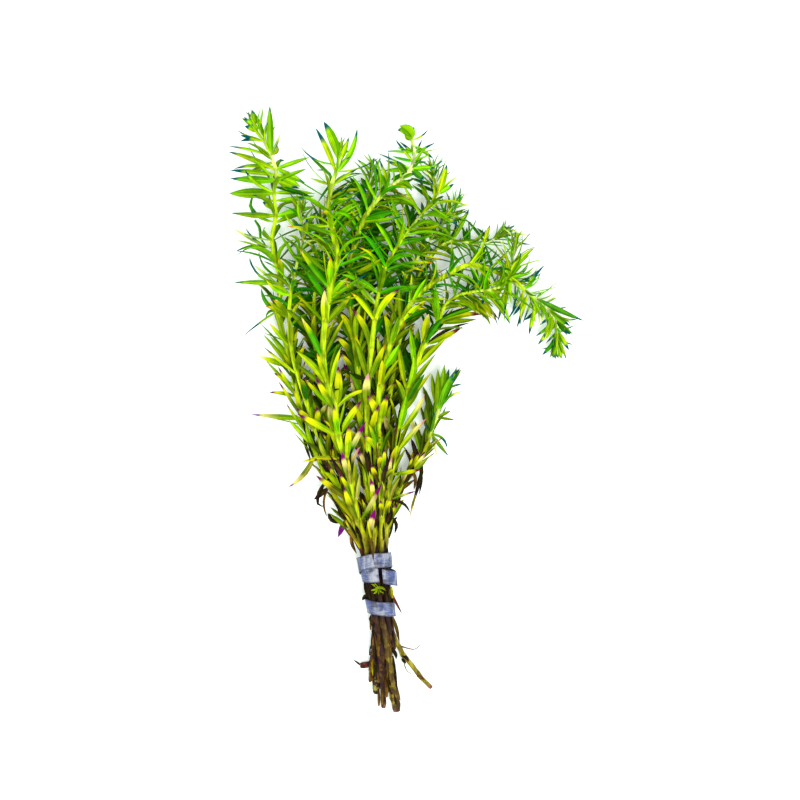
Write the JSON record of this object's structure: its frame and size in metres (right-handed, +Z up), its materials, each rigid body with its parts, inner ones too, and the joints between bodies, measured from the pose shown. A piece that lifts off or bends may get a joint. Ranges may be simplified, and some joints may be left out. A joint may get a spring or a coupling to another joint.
{
  "type": "bunch of aquatic stem plants",
  "caption": "Tied bunch of leafy aquatic stems, cut and lying flat: fine whorled leaves and soft tips at one end, soft metal strips round the bare stems, and cut ends below.",
  "frame": {"origin": "on the surface that the bunch lies on, below the middle of its bounding box", "axes": "+Y from the cut ends to the growing tips, +Z up from the surface, +X to the right seen from above with the tips ahead"},
  "size_m": [0.1254, 0.2132, 0.0321],
  "materials": {
    "leafy_stem": "satin",
    "soft_metal": "satin"
  },
  "bodies": {
    "root": {"stem_front": "leafy_stem", "stem_arching": "leafy_stem", "stem_inner_right": "leafy_stem", "stem_far_left": "leafy_stem", "stem_middle_right": "leafy_stem", "stem_left": "leafy_stem", "stem_low_right": "leafy_stem", "stem_centre": "leafy_stem", "stem_left_inner": "leafy_stem", "stem_upper_right": "leafy_stem", "stem_right": "leafy_stem", "stem_back": "leafy_stem", "metal_strip_upper": "soft_metal", "metal_strip_lower": "soft_metal"}
  },
  "joints": []
}
